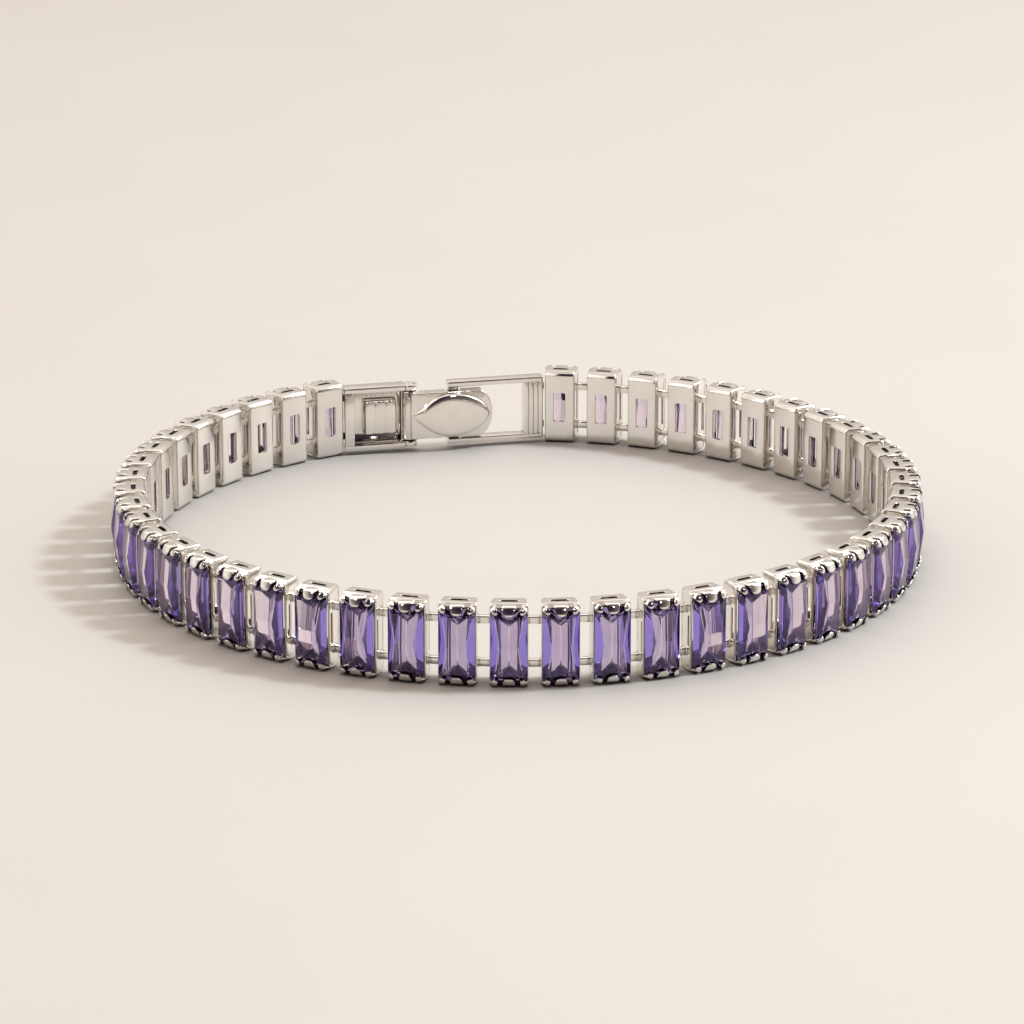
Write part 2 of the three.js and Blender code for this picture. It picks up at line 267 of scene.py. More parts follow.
def polished_rhodium_plate():
    """Rhodium plate over silver that was cast and then tumble polished.

    To the eye it is a bright, very slightly warm mirror, with a faint ripple left by the casting
    and small patches where the polish is a little hazier. Corners and crevices, where other faces
    stand near, are painted darker as painted shade.
    """
    material, tree = blank("polished_rhodium_plate")
    place = add(tree, "ShaderNodeTexCoord").outputs["Object"]
    haze = add(
        tree, "ShaderNodeTexNoise", {"Scale": 1 / HAZE_PATCH, "Detail": 3.0}, {"Vector": place},
    )
    ripple = add(
        tree, "ShaderNodeTexNoise", {"Scale": 1 / RIPPLE, "Detail": 1.0}, {"Vector": place},
    )
    roughness = add(
        tree, "ShaderNodeMapRange",
        {"From Min": 0.3, "From Max": 0.7, "To Min": 0.05, "To Max": 0.13},
        {"Value": haze.outputs["Fac"]},
    )
    tone = add(tree, "ShaderNodeMix", {"data_type": "RGBA"}, {"Factor": haze.outputs["Fac"]})
    tone.inputs["A"].default_value = colour("#edeae5")
    tone.inputs["B"].default_value = colour("#e1ddd7")
    # Painted shade: near other faces the colour is mixed towards a dark brown, so corners and
    # crevices come out darker.
    reach = add(tree, "ShaderNodeAmbientOcclusion", {"samples": 6, "Distance": SHADE_REACH})
    polish = add(
        tree, "ShaderNodeMapRange", {"From Min": 0.15, "From Max": 0.7},
        {"Value": reach.outputs["AO"]},
    )
    painted_shade_tone = add(
        tree, "ShaderNodeMix", {"data_type": "RGBA"},
        {"Factor": polish.outputs["Result"], "B": tone.outputs["Result"]},
    )
    # The dark tone of the painted shade.
    painted_shade_tone.inputs["A"].default_value = colour("#6f665c")
    bump = add(
        tree, "ShaderNodeBump", {"Strength": 0.12, "Distance": RIPPLE_HEIGHT},
        {"Height": ripple.outputs["Fac"]},
    )
    shader = add(
        tree, "ShaderNodeBsdfPrincipled", {"Metallic": 1.0},
        {
            "Base Color": painted_shade_tone.outputs["Result"],
            "Roughness": roughness.outputs["Result"],
            "Normal": bump.outputs["Normal"],
        },
    )
    add(tree, "ShaderNodeOutputMaterial", {}, {"Surface": shader.outputs["BSDF"]})
    return material


# Each facet of a stone carries one of these marks, which picks its tints from a colour ramp; the
# side and end tints are painted shade.
PAINTED_FACET_SHADE = "painted_facet_shade"
PLAIN_FACET = 0.0
PAINTED_SIDE_FACET = 0.5  # the crown's long side facets, painted a deeper blue violet as painted shade
SHADED_END_FACET = 1.0  # the pavilion's facets that look into the closed ends of the setting, painted near black as shade
VIOLET_DENSITY = 190.0  # how fast the violet builds up with depth, for each metre


def cut_violet_zirconia():
    """Violet cubic zirconia, sawn, ground and polished flat facet by facet.

    To the eye it is clear and very bright, pinkish lilac looking straight in and a strong blue
    violet through the long facets at its sides. Light takes a tint where it goes in through a
    facet. The long side facets are painted a deeper blue violet, as painted shade for the deeper
    colour light gathers on its way through the stone there. The end facets are painted near black
    going in and coming out, as painted shade for the dark metal of the setting behind them. The
    surface mirrors its surroundings a little violet, and the colour deepens with the thickness of
    the stone.
    """
    material, tree = blank("cut_violet_zirconia")
    facet = add(tree, "ShaderNodeAttribute", {"attribute_name": PAINTED_FACET_SHADE}).outputs["Fac"]
    # Painted shade: the side facets take a deeper blue violet and the end facets near black.
    painted_tint_in = add(
        tree, "ShaderNodeValToRGB", {}, {"Fac": facet},
        ((PLAIN_FACET, "#e1c9cb"), (PAINTED_SIDE_FACET, "#7f6ae7"), (SHADED_END_FACET, "#1a1428")),
    )
    # The end facets also dim the light coming out: painted shade.
    painted_shade_out = add(
        tree, "ShaderNodeValToRGB", {}, {"Fac": facet},
        ((PLAIN_FACET, "#ffffff"), (PAINTED_SIDE_FACET, "#ffffff"), (SHADED_END_FACET, "#1a1428")),
    )
    inside = add(tree, "ShaderNodeNewGeometry").outputs["Backfacing"]
    tone = add(
        tree, "ShaderNodeMix", {"data_type": "RGBA"},
        {"Factor": inside, "A": painted_tint_in.outputs["Color"], "B": painted_shade_out.outputs["Color"]},
    )
    shader = add(
        tree, "ShaderNodeBsdfPrincipled",
        {
            "Transmission Weight": 1.0, "IOR": 2.15, "Roughness": 0.0,
            "Specular Tint": colour("#c3b2e6"),
        },
        {"Base Color": tone.outputs["Result"]},
    )
    depth = add(
        tree, "ShaderNodeVolumeAbsorption", {"Color": colour("#9d84f2"), "Density": VIOLET_DENSITY},
    )
    add(
        tree, "ShaderNodeOutputMaterial", {},
        {"Surface": shader.outputs["BSDF"], "Volume": depth.outputs["Volume"]},
    )
    return material


METAL = polished_rhodium_plate()
STONE = cut_violet_zirconia()


# ---- stones ----

STONE_HALF_WIDTH, STONE_HALF_HEIGHT, STONE_CORNER = 1.3, 2.665, 0.25
# How far out from the line of the bars each part of the stone lies:
KEEL, KEEL_HALF_LENGTH = 0.05, 1.3  # the pavilion's lowest line, which runs up the stone
GIRDLE, CROWN = 1.05, 1.12  # where the pavilion ends and the crown starts
BREAK, BREAK_HALF_HEIGHT = 1.42, 2.1  # where the crown turns down steeply towards its ends
RIDGE, RIDGE_HALF_WIDTH = 1.7, 0.66  # the crown's highest line, which runs across its middle
FACET_EDGE = 0.042  # width of the worn edge between two facets


def cut_stone():
    """An oblong with clipped corners, a low hipped crown and a keeled pavilion.

    A long facet at each side of the crown comes furthest in at its middle, at an end of the
    ridge, so the two faces between them are narrowest there. Each facet gets its mark for the
    material's tints, which paint shade on the long side facets and the pavilion's end facets.
    """
    side_slope = (STONE_HALF_WIDTH - RIDGE_HALF_WIDTH) / (RIDGE - CROWN)
    break_half_width = STONE_HALF_WIDTH - (BREAK - CROWN) * side_slope
    points = []
    for side in (-1, 1):
        for end in (-1, 1):
            for out in (GIRDLE, CROWN):
                points += [
                    (side * STONE_HALF_WIDTH, out, end * (STONE_HALF_HEIGHT - STONE_CORNER)),
                    (side * (STONE_HALF_WIDTH - STONE_CORNER), out, end * STONE_HALF_HEIGHT),
                ]
            points.append((side * break_half_width, BREAK, end * BREAK_HALF_HEIGHT))
        points.append((side * RIDGE_HALF_WIDTH, RIDGE, 0))
        points.append((0, KEEL, side * KEEL_HALF_LENGTH))
    shell = bmesh.new()
    for x, y, z in points:
        shell.verts.new((x, y, MID + z))
    bmesh.ops.convex_hull(shell, input=shell.verts)
    bmesh.ops.dissolve_limit(
        shell, angle_limit=math.radians(0.5), verts=shell.verts, edges=shell.edges,
    )
    bmesh.ops.bevel(
        shell, geom=list(shell.edges), offset=FACET_EDGE, offset_type="OFFSET",
        segments=1, profile=0.5, affect="EDGES",
    )
    shell.normal_update()
    marks = shell.faces.layers.float.new(PAINTED_FACET_SHADE)
    for face in shell.faces:
        out = face.calc_center_median().y
        faces_sideways = abs(face.normal.x) > 0.6 and abs(face.normal.z) < 0.1
        faces_an_end = abs(face.normal.z) > 0.4
        # The side facets get the painted deeper violet, and the pavilion's end facets get the
        # painted shade.
        if out > CROWN + FACET_EDGE and faces_sideways:
            face[marks] = PAINTED_SIDE_FACET
        elif out < GIRDLE - FACET_EDGE and faces_an_end:
            face[marks] = SHADED_END_FACET
    return shell


def make_stones():
    """The same stone in every link."""
    one = cut_stone()
    for k in range(LINK_COUNT):
        number = f"{k + 1:02d}"
        shell = turned(one.copy(), link_place(k))
        stone = mesh_piece(f"cut_stone_{number}", [shell], STONE, smooth_below=2)
        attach(stone, "chain")
        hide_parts(f"stone_{number}")
    one.free()


# ---- settings ----

# Claw centre lines: how far sideways, how far out, how far in from the link's end, then the
# claw's width and thickness there.
CENTRE_CLAW = (
    (0.0, 0.45, 0.14, 1.00, 0.20),
    (0.0, 0.88, 0.12, 1.00, 0.18),
    (0.0, 1.10, 0.11, 0.98, 0.16),
    (0.0, 1.20, 0.14, 0.96, 0.15),
    (0.0, 1.27, 0.20, 0.93, 0.14),
    (0.0, 1.32, 0.28, 0.89, 0.13),
    (0.0, 1.37, 0.37, 0.85, 0.13),
    (0.0, 1.42, 0.47, 0.79, 0.12),
    (0.0, 1.46, 0.56, 0.69, 0.12),
    (0.0, 1.49, 0.63, 0.52, 0.10),
    (0.0, 1.505, 0.67, 0.32, 0.08),
    (0.0, 1.51, 0.69, 0.14, 0.05),
)
CORNER_CLAW = (
    (1.06, 0.45, 0.22, 0.40, 0.22),
    (1.08, 0.90, 0.21, 0.42, 0.22),
    (1.08, 1.12, 0.21, 0.44, 0.22),
    (1.06, 1.23, 0.23, 0.46, 0.22),
    (1.01, 1.30, 0.29, 0.46, 0.21),
    (0.96, 1.36, 0.37, 0.43, 0.20),
    (0.91, 1.41, 0.45, 0.36, 0.18),
    (0.88, 1.44, 0.51, 0.26, 0.14),
    (0.86, 1.45, 0.545, 0.12, 0.08),
)
CORNER_CLAW_TWIST = math.radians(38)
CLAW_ROUNDING = 0.45  # of a claw's thickness; 0.5 would make its edges half round


def claw(line, twist=0.0):
    """A claw at the link's upper end, swept along its centre line with a rounded section."""
    path = [Vector((x, out, HEIGHT - down)) for x, out, down, _, _ in line]
    across = Vector((math.cos(twist), 0, -math.sin(twist)))
    sections = []
    for i, (_, _, _, width, thickness) in enumerate(line):
        ahead = path[min(i + 1, len(path) - 1)] - path[max(i - 1, 0)]
        ahead.normalize()
        wide = (across - ahead * across.dot(ahead)).normalized()
        thick = ahead.cross(wide)
        outline = rounded_outline(width / 2, thickness / 2, thickness * CLAW_ROUNDING, 2)
        sections.append([path[i] + wide * u + thick * v for u, v in outline])
    return loft(sections)


def plate_half_width(y):
    """Half the setting's width, which grows from the wrist's side to the open face."""
    share = (y - INNER) / (FRONT - INNER)
    return INNER_HALF_WIDTH + share * (FRONT_HALF_WIDTH - INNER_HALF_WIDTH)


BEND = 0.4  # outer radius where the strap turns from the plate into an end wall
BEND_STEP = 9  # degrees of that turn from one section to the next
FLAT = MID - BEND
SHOULDER, SHOULDER_DROP = 0.5, 0.22  # from here an end wall slopes in towards the claws
CREASE = 0.03  # half the width of the softened line where a face changes its slope
STRAP_EDGE = 0.11  # rounding along the strap's outer edges
SLOT_EDGE = 0.06  # and along its slots
PLATE_SLOT = {"half_width": 0.46, "half_height": 1.2}
END_SLOT = {"half_width": 0.65, "half_depth": 0.18}
WELD = 0.003  # points closer than this are made one where the strap's halves meet


def over_ends(u, v, depth):
    """A place in the strap: across, along from its middle, and down from its outer face."""
    side = 1 if v >= 0 else -1
    past = abs(v) - FLAT
    if past <= 0:
        return (u, INNER + depth, MID + v)
    angle = min(past / BEND, math.pi / 2)
    run_on = max(0.0, past - BEND * math.pi / 2)
    reach = BEND - depth
    y = INNER + BEND - reach * math.cos(angle) + run_on
    drop = SHOULDER_DROP * max(0.0, y - SHOULDER) / (FRONT - SHOULDER)
    return (u, y, MID + side * (FLAT + reach * math.sin(angle) - drop))


# A slot's rounded end: how far before the end, the share of its half width still open there,
# and the rounding of its edge.
SLOT_END = ((0.16, 1.0, SLOT_EDGE), (0.08, 0.95, 0.05), (0.03, 0.84, 0.03), (0.0, 0.6, 0.015))
SLOT_CLOSED = 0.002  # past the end by this much, the metal meets in the middle


def slot_stations(half_width, near, far):
    """Stations over one end of a slot: place, where the metal starts, and its corner radius."""
    way = 1 if far > near else -1
    stations = [(far - way * back, half_width * share, corner) for back, share, corner in SLOT_END]
    return stations + [(far + way * SLOT_CLOSED, 0.0, 0.0)]


def strap_half():
    """Half of the slotted strap: the plate on the wrist's side, bent over into both end walls."""
    turned_up = FLAT + BEND * math.pi / 2
    middle = turned_up - (INNER + BEND)  # the end slots' middle, on the line of the bars
    half_depth = END_SLOT["half_depth"]
    stations = [(0.0, PLATE_SLOT["half_width"], SLOT_EDGE)]
    stations += slot_stations(PLATE_SLOT["half_width"], 0.0, PLATE_SLOT["half_height"])
    turn = range(0, 90 + BEND_STEP, BEND_STEP)
    stations += [(FLAT + BEND * math.radians(angle), 0.0, 0.0) for angle in turn]
    stations += slot_stations(END_SLOT["half_width"], middle, middle - half_depth)[1:][::-1]
    stations += slot_stations(END_SLOT["half_width"], middle, middle + half_depth)[1:]
    front_lines = (SHOULDER - CREASE, SHOULDER, SHOULDER + CREASE, FRONT)
    stations += [(middle + y, 0.0, 0.0) for y in front_lines]
    sections = []
    for v, metal_from, corner in [(-v, *rest) for v, *rest in stations[:0:-1]] + stations:
        y = max(INNER, abs(v) - middle) if abs(v) > turned_up else INNER
        edge = plate_half_width(y)
        half = (edge - metal_from) / 2
        centre = ((edge + metal_from) / 2, WALL / 2)
        outline = rounded_outline(half, WALL / 2, STRAP_EDGE, 3, centre, corner)
        sections.append([over_ends(u, v, depth) for u, depth in outline])
    return loft(sections)


def strap():
    """The whole slotted strap, its two halves welded along the middle."""
    whole = merged(copies(strap_half(), (KEEP, FLIP_X)))
    bmesh.ops.remove_doubles(whole, verts=whole.verts, dist=WELD)
    between = [face for face in whole.faces if all(abs(v.co.x) < WELD for v in face.verts)]
    bmesh.ops.delete(whole, geom=between, context="FACES")
    return whole


RIM = {
    "side": 0.11, "end": 0.14, "depth": 0.25, "proud": 0.02,
    "edge": 0.05, "outer_corner": 0.3, "inner_corner": 0.2,
}


def front_rim():
    """The thin rim round the open face, which the stone's girdle sits behind."""
    half_height = MID - SHOULDER_DROP
    outer = rounded_outline(FRONT_HALF_WIDTH, half_height, RIM["outer_corner"])
    inner = rounded_outline(
        FRONT_HALF_WIDTH - RIM["side"], half_height - RIM["end"], RIM["inner_corner"],
    )
    return frame_ring(
        outer, inner, FRONT - RIM["depth"], FRONT + RIM["proud"], RIM["edge"],
        lambda u, v, up: (u, up, MID + v),
    )


CLEAR = 0.012  # keeps two joined faces from lying in one plane
SIDE_WALL = {
    "thickness": 0.13, "half_depth": 0.8, "half_height": 2.78, "corner": 0.1, "edge": 0.04,
}
SIDE_WINDOW = {"low": 0.3, "high": 0.63, "half_height": 1.15, "corner": 0.12}


def side_wall():
    """The right side wall: closed beside the plate, open in its middle behind the rim."""
    outer = rounded_outline(
        SIDE_WALL["half_depth"], SIDE_WALL["half_height"], SIDE_WALL["corner"], 2,
    )
    middle = (SIDE_WINDOW["low"] + SIDE_WINDOW["high"]) / 2
    half = (SIDE_WINDOW["high"] - SIDE_WINDOW["low"]) / 2
    window = rounded_outline(
        half, SIDE_WINDOW["half_height"], SIDE_WINDOW["corner"], 2, (middle, 0.0),
    )
    return frame_ring(
        outer, window, -SIDE_WALL["thickness"], 0.0, SIDE_WALL["edge"],
        lambda y, z, up: (plate_half_width(y) - CLEAR + up, y, MID + z),
    )


# A corner post's half width at each distance out from the line of the bars:
POST = ((0.0, 0.06), (0.12, 0.13), (0.7, 0.15), (0.95, 0.15), (1.0, 0.1))
POST_FROM_SIDE, POST_FROM_END = 0.16, 0.17
POST_LEAN, POST_LEANS_FROM = 0.1, 0.3
POST_ROUNDING = 0.9  # of its half width, so that it is not quite a round rod


def corner_post():
    """The rounded post at a front corner, which carries the corner claw."""
    sections = []
    for y, radius in POST:
        drop = max(0.0, (y - POST_LEANS_FROM)) * POST_LEAN
        centre = (plate_half_width(min(y, FRONT)) - POST_FROM_SIDE, HEIGHT - POST_FROM_END - drop)
        outline = rounded_outline(radius, radius, radius * POST_ROUNDING, 3, centre)
        sections.append([(u, y, v) for u, v in outline])
    return loft(sections)


def setting():
    """One open setting, as shells in the link's own frame."""
    four = (KEEP, FLIP_X, FLIP_Z, FLIP_X @ FLIP_Z)
    two = (KEEP, FLIP_Z)
    return [
        strap(),
        front_rim(),
        *copies(side_wall(), (KEEP, FLIP_X)),
        *copies(corner_post(), four),
        *copies(claw(CENTRE_CLAW), two),
        *copies(claw(CORNER_CLAW, CORNER_CLAW_TWIST), four),
    ]


COLLAR = {"length": 0.16, "depth": 0.52, "height": 0.7}
BAR_EDGE = 0.07


def joining_bar(left, right, collars=(True, True)):
    """The upper flat bar of a pair, with a raised collar where it meets each piece."""
    middle = MID + BAR_RISE

    def length_of(x, depth, height):
        upright = (middle - height / 2, middle + height / 2)
        return rounded_block(x, (-depth / 2, depth / 2), upright, BAR_EDGE)

    shells = [length_of((left, right), BAR_DEPTH, BAR_HEIGHT)]
    at_ends = ((left, left + COLLAR["length"]), (right - COLLAR["length"], right))
    for wanted, x in zip(collars, at_ends):
        if wanted:
            shells.append(length_of(x, COLLAR["depth"], COLLAR["height"]))
    return merged(shells)


def make_settings():
    """The settings and their bars, as one piece for each run."""
    one = merged(setting())
    half_gap = LINK_PITCH / 2 - plate_half_width(0)
    first = 0
    for run, count in enumerate(RUNS):
        shells = []
        for k in range(first, first + count):
            shells.append(turned(one.copy(), link_place(k)))
            last_in_run = k == first + count - 1
            if k < LINK_COUNT - 1:
                # A run's last bars are fixed in their own setting and stop short of the next.
                left = EDGE_GAP - half_gap if last_in_run else -half_gap - BAR_LAP
                place = link_place(k + 0.5, CHORD_RADIUS)
                bar = joining_bar(left, half_gap + BAR_LAP)
                shells += copies(bar, (place, place @ FLIP_Z))
        piece = mesh_piece(f"settings_{run + 1}", shells, METAL)
        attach(piece, "chain")
        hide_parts(f"setting_run_{run + 1}")
        first += count
    one.free()


# ---- clasp ----

# Sizes along the clasp are measured from its middle, and the wrist's side is -y.
CLASP_END = 8.03
FRAME_HALF_HEIGHT = 2.55
FRAME_LOW, FRAME_HIGH = MID - FRAME_HALF_HEIGHT, MID + FRAME_HALF_HEIGHT
RAIL = 0.45
PIN_X, PIN_RADIUS, PIN_CLEARANCE = -2.75, 0.36, 0.08
PRESS_GAP = 0.01  # between the pin and the lugs it is pressed into
END_DEPTH, CATCH_DEPTH = 0.65, 0.5  # half the depth of each frame
RING_STEPS, PIN_STEPS = 32, 24
RAIL_TO_PIN = 0.06  # from a rail's end, which lies inside the lug, to the pin's side
# How far each piece's edges are rounded:
EDGES = {
    "rail": 0.08, "lug": 0.09, "end_wall": 0.1, "back_plate": 0.06, "block": 0.16,
    "barrel": 0.07, "lever_face": 0.09, "flange": 0.07, "tip_wall": 0.08,
    "catch_bar": 0.1, "catch_post": 0.07,
}
TO_CLASP = Matrix.Translation((0, PIN_Y, 0))
END_BAR_SLANT = CLASP_HALF_ANGLE / 2  # the bars to the end links bend by half the turn


def standing(x, y, z):
    """For outlines drawn in plan."""
    return (x, y, z)


def facing_wrist(x, z, y):
    """For outlines drawn on the lever's face, with z from its middle."""
    return (x, y, MID + z)


def ring_points(radius, steps, centre=(0.0, 0.0)):
    """Points round a circle."""
    turns = [math.tau * i / steps for i in range(steps)]
    return [(centre[0] + radius * math.cos(t), centre[1] + radius * math.sin(t)) for t in turns]


ROLL_FULLNESS = 0.96  # 1 makes each roll a half round; a little less keeps its edges soft


def ribbed_outline(left, right, inner, outer, rolls, depth, corner):
    """A plan outline whose wrist side is a row of upright rolls and is rounded at its ends."""
    points = []
    width = right - left
    roll = width / rolls
    steps = 7
    for i in range(rolls):
        for j in range(steps + (i == rolls - 1)):
            across = -1 + 2 * j / steps  # from one edge of the roll to the other
            x = left + roll * (i + (across + 1) / 2)
            hollow = depth * (1 - math.sqrt(1 - ROLL_FULLNESS * across ** 2))
            past = max(0.0, abs(2 * (x - left) / width - 1) - (1 - 2 * corner / width))
            round_off = corner * (1 - math.sqrt(max(0.0, 1 - (past * width / 2 / corner) ** 2)))
            points.append((x, inner + hollow + round_off))
    return points + [(right, outer), (left, outer)]


def end_bars(side):
    """The pair of bars from a frame to its end link; side is -1 at the left and 1 at the right."""
    half = plate_half_width(0)
    link_x = LOOP_RADIUS * math.sin(CLASP_HALF_ANGLE) - half * math.cos(CLASP_HALF_ANGLE)
    link_y = half * math.sin(CLASP_HALF_ANGLE)
    reach = link_x - CLASP_END
    start_y = link_y - reach * math.tan(END_BAR_SLANT)
    length = reach / math.cos(END_BAR_SLANT) - EDGE_GAP - BAR_DEPTH * math.tan(END_BAR_SLANT)
    bar = joining_bar(-BAR_DEPTH, length, collars=(False, False))
    way = Matrix.Diagonal((side, 1, 1, 1))
    turned_in = Matrix.Rotation(END_BAR_SLANT, 4, "Z")
    lie = Matrix.Translation((side * CLASP_END, start_y, 0)) @ way @ turned_in
    return copies(bar, (lie, lie @ FLIP_Z))


def rails(left, right, depth):
    """The two level rails of a frame."""
    upright = (FRAME_LOW, FRAME_LOW + RAIL)
    lower = rounded_block((left, right), (-depth, depth), upright, EDGES["rail"])
    return copies(lower, (KEEP, FLIP_Z))


def lug():
    """The round lug at the lower rail's end, bored for the pin."""
    centre = (PIN_X, 0.0)
    return frame_ring(
        ring_points(END_DEPTH, RING_STEPS, centre),
        ring_points(PIN_RADIUS + PRESS_GAP, RING_STEPS, centre),
        FRAME_LOW + CLEAR, FRAME_LOW + RAIL + CLEAR, EDGES["lug"], standing,
    )


BLOCK = {"left": -6.45, "right": -3.8, "half_depth": 0.5, "half_height": 1.375}
BLOCK_RIBS = {"rolls": 3, "depth": 0.14, "corner": 0.3}
END_WALL = 0.8
RAIL_END = PIN_X - PIN_RADIUS - RAIL_TO_PIN
BACK_PLATE, BACK_PLATE_RIGHT = 0.22, -3.28  # thickness, and where it stops beside the barrel


def end_frame():
    """The trough at the chain's left end, with a ribbed block inside and lugs for the pin."""
    half_depth, half_height = BLOCK["half_depth"], BLOCK["half_height"]
    block = ribbed_outline(BLOCK["left"], BLOCK["right"], -half_depth, half_depth, **BLOCK_RIBS)
    upright = (FRAME_LOW + CLEAR, FRAME_HIGH - CLEAR)
    depth = END_DEPTH - CLEAR
    left = -CLASP_END + CLEAR
    return [
        *rails(-CLASP_END, RAIL_END, END_DEPTH),
        *copies(lug(), (KEEP, FLIP_Z)),
        rounded_block(
            (left, -CLASP_END + END_WALL), (-depth, depth), upright, EDGES["end_wall"],
        ),
        rounded_block(
            (left + CLEAR, BACK_PLATE_RIGHT), (depth - BACK_PLATE, depth - CLEAR), upright,
            EDGES["back_plate"],
        ),
        slab(block, MID - half_height, MID + half_height, EDGES["block"], standing),
        *end_bars(-1),
    ]


# The pin's domed end: shares of half its length and of its radius, from the shank outward.
PIN_DOME = ((0.945, 1), (0.972, 0.88), (0.992, 0.6), (1, 0.15))


def hinge_pin():
    """A drawn pin with lightly domed, burnished ends."""
    sections = []
    for up, share in [(-up, share) for up, share in PIN_DOME[::-1]] + list(PIN_DOME):
        rim = ring_points(PIN_RADIUS * share, PIN_STEPS, (PIN_X, 0.0))
        sections.append([(x, y, MID + up * FRAME_HALF_HEIGHT) for x, y in rim])
    return [loft(sections)]


LEVER_INNER, LEVER_THICKNESS, LEVER_HALF_HEIGHT, LEVER_RIGHT = -0.86, 0.36, 1.875, 3.8
BARREL_RADIUS, BARREL_HALF_HEIGHT = 0.6, 1.975
TIP_RADIUS = 1.1
TIP_X = LEVER_RIGHT - TIP_RADIUS
FLANGE, FLANGE_TIP = 0.3, 0.1  # thickness of a side wall, and how far out it reaches
FLANGE_LEFT, FLANGE_RIGHT = -2.0, 3.0
FLANGE_SET_IN = 0.2  # the strip along the notch's floor stops this far inside the wall's ends
FLANGE_LAP, BOSS_LAP = 0.08, 0.1  # how far a side wall and the boss run into the face
NOTCH_LEFT, NOTCH_RIGHT, NOTCH_FLOOR = 0.15, 1.35, -0.45
DOME = {
    "left": -2.65, "right": 3.6, "height": 3.5, "rise": 0.45,
    "lead_in": 1.2,  # over this length from its left point the boss rises to its full height
    "bluntness": 0.6,  # of its right end; 1 would point it like the left one
    "roundness": 0.5,  # of its section; less makes a flatter top over steeper sides
}


def barrel():
    """The rolled end of the lever that turns on the pin."""
    centre = (PIN_X, 0.0)
    return frame_ring(
        ring_points(BARREL_RADIUS, RING_STEPS, centre),
        ring_points(PIN_RADIUS + PIN_CLEARANCE, RING_STEPS, centre),
        MID - BARREL_HALF_HEIGHT, MID + BARREL_HALF_HEIGHT, EDGES["barrel"], standing,
    )


def lever_face():
    """The lever's flat face, from the pin to its rounded tip."""
    outline = [(PIN_X, -LEVER_HALF_HEIGHT)]
    steps = 16
    for i in range(steps + 1):
        angle = -math.pi / 2 + math.pi * i / steps
        x = TIP_X + TIP_RADIUS * math.cos(angle)
        outline.append((x, LEVER_HALF_HEIGHT * math.sin(angle)))
    outline.append((PIN_X, LEVER_HALF_HEIGHT))
    outer = LEVER_INNER + LEVER_THICKNESS
    return slab(outline, LEVER_INNER, outer, EDGES["lever_face"], facing_wrist)


def flange():
    """The lever's lower side wall, cut away over the catch bar."""
    low = MID - LEVER_HALF_HEIGHT
    z = (low + CLEAR, low + FLANGE)
    root = LEVER_INNER + FLANGE_LAP
    walls = (
        ((FLANGE_LEFT, NOTCH_LEFT), FLANGE_TIP),
        ((NOTCH_RIGHT, FLANGE_RIGHT), FLANGE_TIP),
        ((FLANGE_LEFT + FLANGE_SET_IN, FLANGE_RIGHT - FLANGE_SET_IN), NOTCH_FLOOR),
    )
    return merged([rounded_block(x, (root, tip), z, EDGES["flange"]) for x, tip in walls])


def dome():
    """The leaf-shaped boss, pointed to the left and blunter to the right, with a flat crown."""
    centre = (DOME["left"] + DOME["right"]) / 2
    half_length = (DOME["right"] - DOME["left"]) / 2
    steps = 20
    outline = []
    for way in (1, -1):
        for i in range(steps):
            along = way * (-1 + 2 * i / steps)
            taper = 1 if along < 0 else DOME["bluntness"]
            half_height = DOME["height"] / 2 * (1 - along ** 2) ** taper
            outline.append((along * half_length, -way * half_height))
    sections = [[(centre + u, LEVER_INNER + BOSS_LAP, MID + v) for u, v in outline]]
    layers = 9
    for i in range(layers):
        angle = math.pi / 2 * i / layers
        share = math.cos(angle) ** DOME["roundness"]
        rise = DOME["rise"] * math.sin(angle) ** DOME["roundness"]
        section = []
        for u, v in outline:
            x = centre + u * share
            lead = min(1.0, (x - DOME["left"]) / DOME["lead_in"])
            section.append((x, LEVER_INNER - rise * math.sin(lead * math.pi / 2), MID + v * share))
        sections.append(section)
    return loft(sections)


TIP_WALL = {"thickness": 0.4, "half_height": 1.125}


def lever():
    """The fold-over lever: barrel, face, side walls, a wall inside its tip, and the boss."""
    half_height = TIP_WALL["half_height"]
    return [
        barrel(),
        lever_face(),
        *copies(flange(), (KEEP, FLIP_Z)),
        rounded_block(
            (TIP_X, TIP_X + TIP_WALL["thickness"]), (LEVER_INNER + BOSS_LAP, FLANGE_TIP),
            (MID - half_height, MID + half_height), EDGES["tip_wall"],
        ),
        dome(),
    ]


CATCH_LEFT, CATCH_BAR_RIGHT, CATCH_BAR_HALF_DEPTH = 0.3, 1.2, 0.3
CATCH_POST_LEFT = 6.48
CATCH_POST_RIBS = {"rolls": 4, "depth": 0.07, "corner": 0.12}
RAIL_STOP = 0.1  # how far inside the frame's end its rails stop, within the post


def catch_frame():
    """The open frame at the chain's right end, with its bar and its ribbed post."""
    depth = CATCH_DEPTH - CLEAR
    upright = (FRAME_LOW + CLEAR, FRAME_HIGH - CLEAR)
    post = ribbed_outline(CATCH_POST_LEFT, CLASP_END, -depth, depth, **CATCH_POST_RIBS)
    return [
        *rails(CATCH_LEFT, CLASP_END - RAIL_STOP, CATCH_DEPTH),
        rounded_block(
            (CATCH_LEFT + CLEAR, CATCH_BAR_RIGHT), (-CATCH_BAR_HALF_DEPTH, CATCH_BAR_HALF_DEPTH),
            upright, EDGES["catch_bar"],
        ),
        slab(post, *upright, EDGES["catch_post"], standing),
        *end_bars(1),
    ]


def make_clasp():
    """The clasp's four pieces; only the lever rides on a body of its own."""
    for name, shells, body, node in (
        ("clasp_frame", end_frame(), "chain", "clasp_end_frame"),
        ("hinge_pin", hinge_pin(), "chain", "clasp_hinge_pin"),
        ("fold_over_lever", lever(), "lever", "clasp_lever"),
        ("catch_frame", catch_frame(), "chain", "clasp_catch_frame"),
    ):
        piece = mesh_piece(name, [turned(shell, TO_CLASP) for shell in shells], METAL)
        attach(piece, body)
        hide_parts(node)


make_stones()
make_settings()
make_clasp()


# ---- floor, light and camera, in metres ----

FLOOR_HALF = 1.5
CLOUD = 0.03  # across one cloud of the floor's tone


